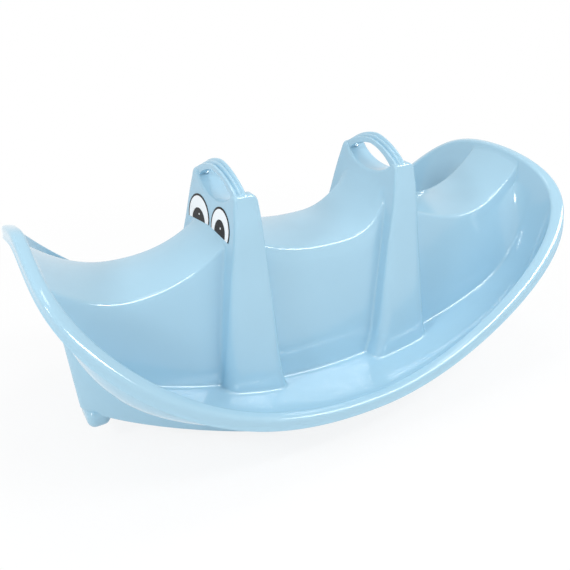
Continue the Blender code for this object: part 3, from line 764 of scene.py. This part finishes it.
# Rocker base: line it rocks on, boat shaped hull, and plate under the footboards
ROCKER_RADIUS = 1.300
HULL_HALF_LENGTH = 0.438
HULL_HALF_WIDTH = 0.175
HULL_END_HALF = 0.024
HULL_POWER = 1.05
HULL_BLUFF_POWER = 8
HULL_ROUND = 0.20
HULL_DRAFT_END = 0.012
HULL_DRAFT_SIDE = 0.008
HULL_EDGE_ROUND = 0.004
HULL_WALL = 0.004
PLATE_DEPTH = 0.018
PLATE_THICKNESS = 0.004
PLATE_EDGE_INSET = 0.0150
PLATE_EDGE_TUCK = 0.007
PLATE_FILLET = 0.005
# Points around the hull, and its rings: shares of the way out over the floor, then steps
HULL_LOOP = 480
FLOOR_SHARES = (0.02, 0.10, 0.25, 0.45, 0.65, 0.82, 0.93)
FLOOR_END_SHARE = 0.995
FLOOR_TAPER = 0.1
ROUND_STEPS = 5
WALL_STEPS = 8
PLATE_STEPS = 33
PLATE_CROWDING = 1.7
# The inner skin starts one ring up the wall
FIRST_INNER_RING = len(FLOOR_SHARES) + ROUND_STEPS + 2


def hull_plan(theta, length, width):
    """Boat shaped outline of the rocker, rounded at both ends."""
    x = -length * np.cos(theta)
    share = np.minimum(np.abs(x / length), 1.0)
    flat = np.sqrt(share ** 2 + HULL_ROUND ** 2) - HULL_ROUND
    flat = flat / (math.hypot(1.0, HULL_ROUND) - HULL_ROUND)
    boat = (1.0 - np.minimum(flat, 1.0) ** HULL_POWER) ** (1.0 / HULL_POWER)
    bluff = (1.0 - share ** HULL_BLUFF_POWER) ** 0.5
    half = (width - HULL_END_HALF) * boat + HULL_END_HALF * bluff
    side = np.where(np.abs(np.sin(theta)) > 1e-9, np.sign(np.sin(theta)), 0.0)
    return x, half * side


def rocker_z(x):
    """Height of the round line that the toy rocks on."""
    return ROCKER_RADIUS - np.sqrt(ROCKER_RADIUS ** 2 - x ** 2)


def plate_height(x, y):
    """Height of the plate's upper side, which follows the footboards and ends inside the lip."""
    edge_drop = RIM_DROP - PLATE_DEPTH - PLATE_EDGE_TUCK
    return scoop(x, y, PLATE_EDGE_INSET, edge_drop)[0] - PLATE_DEPTH


def plate_outline(theta):
    """Outline of the plate that closes the underside of the footboards."""
    cu = -np.cos(theta)
    cy = np.where(np.abs(np.sin(theta)) > 1e-9, np.sin(theta), 0.0)
    radius = plan_radius(cu, cy)
    return (RIM_LOW_X + reach(cu, PLATE_EDGE_INSET) * cu / radius,
            (HALF_WIDTH - PLATE_EDGE_INSET) * cy / radius)


def hull_rings():
    """Outer skin of the base from near the keel up the hull and out to the edge of the plate."""
    theta = np.linspace(0.0, 2.0 * math.pi, HULL_LOOP, endpoint=False)
    x, y = hull_plan(theta, HULL_HALF_LENGTH, HULL_HALF_WIDTH)
    rings = []
    for share in FLOOR_SHARES:
        floor_x = x * (FLOOR_END_SHARE - FLOOR_TAPER * (1.0 - share))
        rings.append((floor_x, y * share, rocker_z(floor_x)))
    floor = rocker_z(x)
    for angle in np.linspace(0.0, QUARTER_TURN, ROUND_STEPS + 1):
        back = HULL_EDGE_ROUND * (1.0 - math.sin(angle))
        rings.append((x * (1.0 - back / HULL_HALF_LENGTH), y * (1.0 - back / HULL_HALF_WIDTH),
                      floor + HULL_EDGE_ROUND * (1.0 - math.cos(angle))))
    top_x = x * (1.0 + HULL_DRAFT_END / HULL_HALF_LENGTH)
    top_y = y * (1.0 + HULL_DRAFT_SIDE / HULL_HALF_WIDTH)
    lip = plate_height(top_x, top_y) - PLATE_THICKNESS
    low = floor + HULL_EDGE_ROUND
    for share in np.linspace(0.0, 1.0, WALL_STEPS + 1)[1:-1]:
        rings.append((x + (top_x - x) * share, y + (top_y - y) * share,
                      low + (lip - PLATE_FILLET - low) * share))
    edge_x, edge_y = plate_outline(theta)
    span = np.maximum(np.hypot(edge_x - top_x, edge_y - top_y), 1e-4)
    for angle in np.linspace(0.0, QUARTER_TURN, ROUND_STEPS + 1):
        share = PLATE_FILLET * (1.0 - math.cos(angle)) / span
        px = top_x + (edge_x - top_x) * share
        py = top_y + (edge_y - top_y) * share
        under = plate_height(px, py) - PLATE_THICKNESS
        rings.append((px, py, under - PLATE_FILLET * (1.0 - math.sin(angle))))
    first = PLATE_FILLET / span
    for f in np.linspace(0.0, 1.0, PLATE_STEPS + 1)[1:]:
        share = first + (1.0 - first) * (1.0 - (1.0 - f) ** PLATE_CROWDING)
        px = top_x + (edge_x - top_x) * share
        py = top_y + (edge_y - top_y) * share
        rings.append((px, py, plate_height(px, py) - PLATE_THICKNESS))
    return [np.stack(ring, axis=1) for ring in rings]


def rocker_hull():
    """Base with its hull and plate, closed by an inner skin one wall above the outer one."""
    outer = hull_rings()
    inner = [ring + np.array([0.0, 0.0, HULL_WALL]) for ring in outer[FIRST_INNER_RING:]]
    return loft("rocker_hull", outer + inner[::-1])


# Rounded stops under both ends of the hull
STOP_X = 0.4125
STOP_SIZE = (0.041, 0.060, 0.037)
STOP_LOW_Z = 0.0415
STOP_BEVEL = 0.014
STOP_BEVEL_STEPS = 8


def end_stop(name, side):
    """Block with rounded edges under an end of the hull, its top sunk in the hull's floor."""
    settle_view()
    bpy.ops.mesh.primitive_cube_add(size=1.0)
    stop = bpy.context.object
    stop.name = name
    stop.scale = STOP_SIZE
    stop.location = (side * STOP_X, 0.0, STOP_LOW_Z + 0.5 * STOP_SIZE[2])
    bpy.ops.object.transform_apply(location=True, rotation=True, scale=True)
    bpy.ops.object.mode_set(mode="EDIT")
    bpy.ops.mesh.select_all(action="SELECT")
    bpy.ops.mesh.bevel(offset=STOP_BEVEL, segments=STOP_BEVEL_STEPS, affect="EDGES")
    bpy.ops.object.mode_set(mode="OBJECT")
    return stop


# Finishes: linear colours and roughness
BODY_BLUE = (0.378, 0.600, 0.738)
STICKER_WHITE = (0.98, 0.98, 0.98)
STICKER_BLACK = (0.006, 0.006, 0.007)
STEEL_GREY = (0.62, 0.62, 0.64)
PLASTIC_ROUGH = 0.10
WHITE_ROUGH = 0.30
BLACK_ROUGH = 0.28
STEEL_ROUGH = 0.32
FILM_SHINE = 0.12
# How they vary over a piece: scale and detail of the clouds, tints, change of the roughness
PLASTIC_CLOUDS = (9.0, 3.0, (0.97, 1.03), (-0.03, 0.05))
FINE_CLOUDS = (60.0, 2.0, (0.98, 1.0), (-0.03, 0.03))
# Grain of the moulded skin
GRAIN_SCALE = 420.0
GRAIN_DETAIL = 2.0
GRAIN_STRENGTH = 0.03
GRAIN_HEIGHT = 0.0003


def clouded(name, colour, rough, clouds):
    """Material whose colour and gloss vary softly over the piece."""
    scale, detail, tints, gloss_change = clouds
    mat = bpy.data.materials.new(name)
    mat.use_nodes = True
    nodes = mat.node_tree.nodes
    links = mat.node_tree.links
    shader = nodes["Principled BSDF"]
    place = nodes.new("ShaderNodeTexCoord")
    cloud = nodes.new("ShaderNodeTexNoise")
    cloud.inputs["Scale"].default_value = scale
    cloud.inputs["Detail"].default_value = detail
    tint = nodes.new("ShaderNodeValToRGB")
    for stop, share in zip(tint.color_ramp.elements, tints):
        stop.color = [min(c * share, 1.0) for c in colour] + [1.0]
    gloss = nodes.new("ShaderNodeMapRange")
    gloss.inputs["To Min"].default_value = rough + gloss_change[0]
    gloss.inputs["To Max"].default_value = rough + gloss_change[1]
    links.new(place.outputs["Object"], cloud.inputs["Vector"])
    links.new(cloud.outputs["Fac"], tint.inputs["Fac"])
    links.new(cloud.outputs["Fac"], gloss.inputs["Value"])
    links.new(tint.outputs["Color"], shader.inputs["Base Color"])
    links.new(gloss.outputs["Result"], shader.inputs["Roughness"])
    return mat


def moulded_plastic(name, colour):
    """Glossy plastic with the faint grain of its mould."""
    mat = clouded(name, colour, PLASTIC_ROUGH, PLASTIC_CLOUDS)
    nodes = mat.node_tree.nodes
    links = mat.node_tree.links
    place = nodes.new("ShaderNodeTexCoord")
    grain = nodes.new("ShaderNodeTexNoise")
    grain.inputs["Scale"].default_value = GRAIN_SCALE
    grain.inputs["Detail"].default_value = GRAIN_DETAIL
    bump = nodes.new("ShaderNodeBump")
    bump.inputs["Strength"].default_value = GRAIN_STRENGTH
    bump.inputs["Distance"].default_value = GRAIN_HEIGHT
    links.new(place.outputs["Object"], grain.inputs["Vector"])
    links.new(grain.outputs["Fac"], bump.inputs["Height"])
    links.new(bump.outputs["Normal"], nodes["Principled BSDF"].inputs["Normal"])
    return mat


def printed_film(name, colour, rough):
    """Ink on a sticker, with little shine."""
    mat = clouded(name, colour, rough, FINE_CLOUDS)
    mat.node_tree.nodes["Principled BSDF"].inputs["Specular IOR Level"].default_value = FILM_SHINE
    return mat


def screw_metal(name, colour):
    """Bare steel of the screws under the base."""
    mat = clouded(name, colour, STEEL_ROUGH, FINE_CLOUDS)
    mat.node_tree.nodes["Principled BSDF"].inputs["Metallic"].default_value = 1.0
    return mat


# Largest angles between faces, in degrees, that are shaded smooth
BODY_SMOOTH = 40.0
CRISP_SMOOTH = 30.0


def finish_piece(piece, mat, cad_nodes, angle=BODY_SMOOTH):
    """Gives a piece its material and shading, and ties it to the frame."""
    if mat is not None:
        piece.data.materials.clear()
        piece.data.materials.append(mat)
    settle_view()
    piece.select_set(True)
    bpy.context.view_layer.objects.active = piece
    bpy.ops.object.shade_smooth_by_angle(angle=math.radians(angle))
    piece.select_set(False)
    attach(piece, "root")
    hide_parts(*cad_nodes)


# Camera: place, turns in degrees, and lens and sensor in millimetres
CAMERA_PLACE = (-0.6081, -1.0398, 0.8606)
CAMERA_TURN = -29.2095
CAMERA_DOWN = 28.5437
CAMERA_LENS = 44.82
CAMERA_SENSOR = 36.0

# Lamps: name, place, target, length, width, power
LAMPS = (("strip", (1.05, -1.35, 2.05), (1.05, -0.1, 0.2), 2.2, 0.30, 22.0),
         ("overhead", (0.2, 0.1, 2.3), (0.0, 0.0, 0.2), 0.45, 0.45, 4.0),
         ("front", (-1.9, -0.5, 1.5), (0.0, 0.0, 0.2), 0.35, 0.35, 14.0))
# Bright card that shows only as the highlight along edges and fillets
CARD = ("card", (1.0, -1.5, 2.0), (1.0, -0.1, 0.2), 2.6, 0.7, 95.0)
# Light of the white room
WHITE = (1.0, 1.0, 1.0, 1.0)
ROOM_LIGHT = 0.68
# Floor: size, colour and roughness, and the share of it that shows as plain white, which
# grows from FLOOR_GLOW near the toy to the whole at FLOOR_FAR from it
FLOOR_SIZE = 60.0
FLOOR_COLOUR = (0.93, 0.93, 0.93, 1.0)
FLOOR_ROUGH = 0.9
FLOOR_GLOW = 0.85
FLOOR_NEAR = 0.55
FLOOR_FAR = 1.15


def add_camera():
    data = bpy.data.cameras.new("view")
    data.lens = CAMERA_LENS
    data.sensor_width = CAMERA_SENSOR
    camera = bpy.data.objects.new("view", data)
    bpy.context.scene.collection.objects.link(camera)
    camera.location = CAMERA_PLACE
    camera.rotation_euler = (math.radians(90.0 - CAMERA_DOWN), 0.0, math.radians(CAMERA_TURN))
    bpy.context.scene.camera = camera


def add_lamp(name, place, target, length, width, power):
    data = bpy.data.lights.new(name, "AREA")
    data.shape = "RECTANGLE"
    data.size = length
    data.size_y = width
    data.energy = power
    lamp = bpy.data.objects.new(name, data)
    bpy.context.scene.collection.objects.link(lamp)
    lamp.location = place
    direction = Vector(target) - Vector(place)
    lamp.rotation_euler = direction.to_track_quat("-Z", "Y").to_euler()
    return lamp


def seen_directly(nodes, links):
    """1 where the camera sees a surface, also in a mirror or through glass, and 0 elsewhere."""
    path = nodes.new("ShaderNodeLightPath")
    either = nodes.new("ShaderNodeMath")
    either.operation = "MAXIMUM"
    links.new(path.outputs["Is Camera Ray"], either.inputs[0])
    links.new(path.outputs["Is Glossy Ray"], either.inputs[1])
    seen = nodes.new("ShaderNodeMath")
    seen.operation = "MAXIMUM"
    links.new(either.outputs["Value"], seen.inputs[0])
    links.new(path.outputs["Is Transmission Ray"], seen.inputs[1])
    return seen


def add_room():
    """White world: plain white where it is seen, and softer as a light."""
    world = bpy.data.worlds.new("studio")
    bpy.context.scene.world = world
    world.use_nodes = True
    nodes = world.node_tree.nodes
    links = world.node_tree.links
    soft = nodes["Background"]
    soft.inputs["Color"].default_value = WHITE
    soft.inputs["Strength"].default_value = ROOM_LIGHT
    plain_white = nodes.new("ShaderNodeBackground")
    plain_white.inputs["Color"].default_value = WHITE
    plain_white.inputs["Strength"].default_value = 1.0
    mix = nodes.new("ShaderNodeMixShader")
    links.new(seen_directly(nodes, links).outputs["Value"], mix.inputs["Fac"])
    links.new(soft.outputs["Background"], mix.inputs[1])
    links.new(plain_white.outputs["Background"], mix.inputs[2])
    links.new(mix.outputs["Shader"], nodes["World Output"].inputs["Surface"])


def pale_floor():
    """Pale floor that takes the toy's shadow and turns plain white away from it."""
    mat = bpy.data.materials.new("pale_floor")
    mat.use_nodes = True
    nodes = mat.node_tree.nodes
    links = mat.node_tree.links
    shader = nodes["Principled BSDF"]
    shader.inputs["Base Color"].default_value = FLOOR_COLOUR
    shader.inputs["Roughness"].default_value = FLOOR_ROUGH
    glow = nodes.new("ShaderNodeEmission")
    glow.inputs["Color"].default_value = WHITE
    glow.inputs["Strength"].default_value = 1.0
    part = nodes.new("ShaderNodeMath")
    part.operation = "MULTIPLY"
    links.new(seen_directly(nodes, links).outputs["Value"], part.inputs[0])
    place = nodes.new("ShaderNodeTexCoord")
    away = nodes.new("ShaderNodeVectorMath")
    away.operation = "LENGTH"
    links.new(place.outputs["Object"], away.inputs[0])
    share = nodes.new("ShaderNodeMapRange")
    share.inputs["From Min"].default_value = FLOOR_NEAR
    share.inputs["From Max"].default_value = FLOOR_FAR
    share.inputs["To Min"].default_value = FLOOR_GLOW
    share.inputs["To Max"].default_value = 1.0
    links.new(away.outputs["Value"], share.inputs["Value"])
    links.new(share.outputs["Result"], part.inputs[1])
    mix = nodes.new("ShaderNodeMixShader")
    links.new(part.outputs["Value"], mix.inputs["Fac"])
    links.new(shader.outputs["BSDF"], mix.inputs[1])
    links.new(glow.outputs["Emission"], mix.inputs[2])
    links.new(mix.outputs["Shader"], nodes["Material Output"].inputs["Surface"])
    return mat


def add_studio():
    """Room, lamps, the card that only reflections show, and the floor."""
    add_room()
    for lamp in LAMPS:
        add_lamp(*lamp)
    card = add_lamp(*CARD)
    card.visible_diffuse = False
    settle_view()
    bpy.ops.mesh.primitive_plane_add(size=FLOOR_SIZE, location=(0.0, 0.0, 0.0))
    floor = bpy.context.object
    floor.name = "floor"
    floor.data.materials.append(pale_floor())


def main():
    bpy.context.scene.view_settings.view_transform = "Standard"
    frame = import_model()
    settle_view()
    body = crocodile_body()
    blue = moulded_plastic("blue_plastic", BODY_BLUE)
    finish_piece(body, blue, ["body_shell"])
    finish_piece(rocker_hull(), blue, ["rocker_base"], CRISP_SMOOTH)
    white = printed_film("sticker_white", STICKER_WHITE, WHITE_ROUGH)
    black = printed_film("sticker_black", STICKER_BLACK, BLACK_ROUGH)
    for name, node in EYE_NODES:
        finish_piece(eye_sticker(name, white, black), None, [node], CRISP_SMOOTH)
    steel = screw_metal("screw_steel", STEEL_GREY)
    for name, node in frame["nodes"].items():
        if name.startswith("base_screw"):
            node.data.materials.clear()
            node.data.materials.append(steel)
    finish_piece(end_stop("front_stop", -1), blue, ["front_end_stop"])
    finish_piece(end_stop("rear_stop", 1), blue, ["rear_end_stop"])
    add_camera()
    add_studio()


main()
